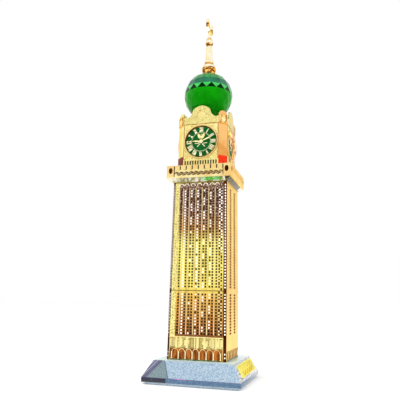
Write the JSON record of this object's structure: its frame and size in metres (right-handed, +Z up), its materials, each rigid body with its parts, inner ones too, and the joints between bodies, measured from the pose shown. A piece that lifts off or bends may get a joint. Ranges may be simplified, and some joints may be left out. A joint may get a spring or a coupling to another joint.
{
  "type": "clock tower souvenir",
  "caption": "Square crystal tower souvenir clad in etched gilt panels, with a gallery, a clock on each side of its head, a green faceted ball and a crescent finial on a bevelled clear base.",
  "frame": {"origin": "centre of the underside, on the surface the tower stands on", "axes": "+Z up the tower, front face towards -Y, +X to the right seen from the front"},
  "size_m": [0.06, 0.06, 0.2498],
  "materials": {
    "clear_crystal": "polished optical crystal with bevelled edges",
    "green_crystal": "polished emerald green crystal with flat facets",
    "lens_crystal": "clear domed watch glass",
    "gilt": "polished gold plate",
    "etched_gilt": "gold plate, pierced and etched, with dark recesses",
    "gold_plate": "bright yellow gold plate with an etched ornament",
    "red_enamel": "glossy red enamel",
    "felt": "blue-grey felt",
    "dial_enamel": "deep green printed dial with cream bars",
    "black_plastic": "moulded black",
    "hand_gold": "pale gold, lightly brushed",
    "cell_steel": "brushed",
    "rod_steel": "threaded steel"
  },
  "bodies": {
    "tower": {"base_pad": "felt", "base_block": "clear_crystal", "ornament_plate": "gold_plate", "shaft_core": "clear_crystal", "shaft_panel_front": "etched_gilt", "shaft_panel_right": "etched_gilt", "shaft_panel_back": "etched_gilt", "shaft_panel_left": "etched_gilt", "corner_strip_front_right": "etched_gilt", "corner_strip_back_right": "etched_gilt", "corner_strip_back_left": "etched_gilt", "corner_strip_front_left": "etched_gilt", "gallery_slab": "clear_crystal", "gallery_fascia_front": "etched_gilt", "gallery_fascia_right": "etched_gilt", "gallery_fascia_back": "etched_gilt", "gallery_fascia_left": "etched_gilt", "head_block": "clear_crystal", "face_screen_front": "etched_gilt", "face_screen_right": "etched_gilt", "face_screen_back": "etched_gilt", "face_screen_left": "etched_gilt", "corner_pilaster_front_right": "gilt", "corner_pilaster_back_right": "gilt", "corner_pilaster_back_left": "gilt", "corner_pilaster_front_left": "gilt", "corner_pedestals": "red_enamel", "corner_capitals": "etched_gilt", "clock_case_front": "gilt", "clock_case_right": "gilt", "clock_case_back": "gilt", "clock_case_left": "gilt", "clock_dial_front": "dial_enamel", "clock_dial_right": "dial_enamel", "clock_dial_back": "dial_enamel", "clock_dial_left": "dial_enamel", "clock_lens_front": "lens_crystal", "clock_lens_right": "lens_crystal", "clock_lens_back": "lens_crystal", "clock_lens_left": "lens_crystal", "clock_movement_front": "black_plastic", "clock_movement_right": "black_plastic", "clock_movement_back": "black_plastic", "clock_movement_left": "black_plastic", "button_cells": "cell_steel", "crystal_ball": "green_crystal", "ball_seat": "gilt", "finial_rod": "rod_steel", "finial_knob": "gilt", "finial_stem": "gilt", "finial_bead": "gilt", "crescent": "gilt"},
    "minute_front": {"minute_hand_front": "hand_gold"},
    "hour_front": {"hour_hand_front": "hand_gold"},
    "minute_right": {"minute_hand_right": "hand_gold"},
    "hour_right": {"hour_hand_right": "hand_gold"},
    "minute_back": {"minute_hand_back": "hand_gold"},
    "hour_back": {"hour_hand_back": "hand_gold"},
    "minute_left": {"minute_hand_left": "hand_gold"},
    "hour_left": {"hour_hand_left": "hand_gold"}
  },
  "joints": [
    {"name": "minute_turn_front", "type": "hinge", "parent": "tower", "child": "minute_front", "pos_m": [0, -0.0168, 0.1519], "axis": [0, 1, 0], "continuous": true},
    {"name": "hour_turn_front", "type": "hinge", "parent": "tower", "child": "hour_front", "pos_m": [0, -0.0168, 0.1519], "axis": [0, 1, 0], "continuous": true},
    {"name": "minute_turn_right", "type": "hinge", "parent": "tower", "child": "minute_right", "pos_m": [0.0168, 0, 0.1519], "axis": [-1, 0, 0], "continuous": true},
    {"name": "hour_turn_right", "type": "hinge", "parent": "tower", "child": "hour_right", "pos_m": [0.0168, 0, 0.1519], "axis": [-1, 0, 0], "continuous": true},
    {"name": "minute_turn_back", "type": "hinge", "parent": "tower", "child": "minute_back", "pos_m": [0, 0.0168, 0.1519], "axis": [0, -1, 0], "continuous": true},
    {"name": "hour_turn_back", "type": "hinge", "parent": "tower", "child": "hour_back", "pos_m": [0, 0.0168, 0.1519], "axis": [0, -1, 0], "continuous": true},
    {"name": "minute_turn_left", "type": "hinge", "parent": "tower", "child": "minute_left", "pos_m": [-0.0168, 0, 0.1519], "axis": [1, 0, 0], "continuous": true},
    {"name": "hour_turn_left", "type": "hinge", "parent": "tower", "child": "hour_left", "pos_m": [-0.0168, 0, 0.1519], "axis": [1, 0, 0], "continuous": true}
  ],
  "couplings": [
    {"joint": "hour_turn_front", "follows": "minute_turn_front", "ratio": 0.083333},
    {"joint": "hour_turn_right", "follows": "minute_turn_right", "ratio": 0.083333},
    {"joint": "hour_turn_back", "follows": "minute_turn_back", "ratio": 0.083333},
    {"joint": "hour_turn_left", "follows": "minute_turn_left", "ratio": 0.083333}
  ]
}
